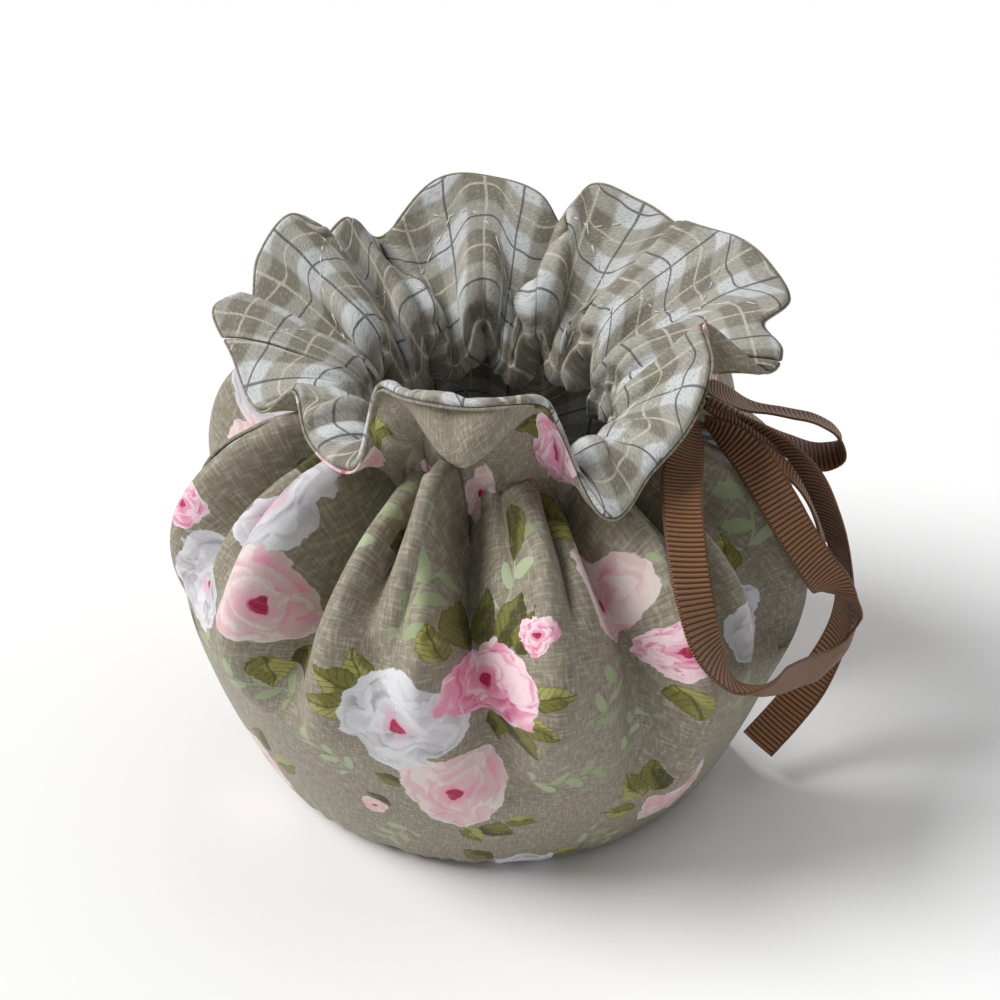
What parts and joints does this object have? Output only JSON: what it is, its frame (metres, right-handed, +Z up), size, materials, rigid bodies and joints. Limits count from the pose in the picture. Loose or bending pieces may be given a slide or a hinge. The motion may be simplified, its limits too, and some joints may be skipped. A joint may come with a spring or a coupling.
{
  "type": "tea cosy",
  "caption": "Gathered linen tea cosy with a rose print, a checked quilted lining turned out in a wavy frill and a brown ribbon bow at the neck.",
  "frame": {"origin": "under the middle of the cosy's outline, on the plane its hem rests on", "axes": "+X towards the handle slit and the bow, -X towards the spout slit, -Y towards the front, +Z up through the gathered neck"},
  "size_m": [0.1752, 0.1644, 0.135],
  "materials": {
    "floral_linen": "matt",
    "checked_cotton": "matt",
    "grosgrain_ribbon": "satin"
  },
  "bodies": {
    "root": {"outer_front": "floral_linen", "outer_back": "floral_linen", "lining_front": "checked_cotton", "lining_back": "checked_cotton", "ribbon_knot": "grosgrain_ribbon", "ribbon_loop_big": "grosgrain_ribbon", "ribbon_loop_small": "grosgrain_ribbon", "ribbon_tail_long": "grosgrain_ribbon", "ribbon_tail_short": "grosgrain_ribbon"}
  },
  "joints": []
}
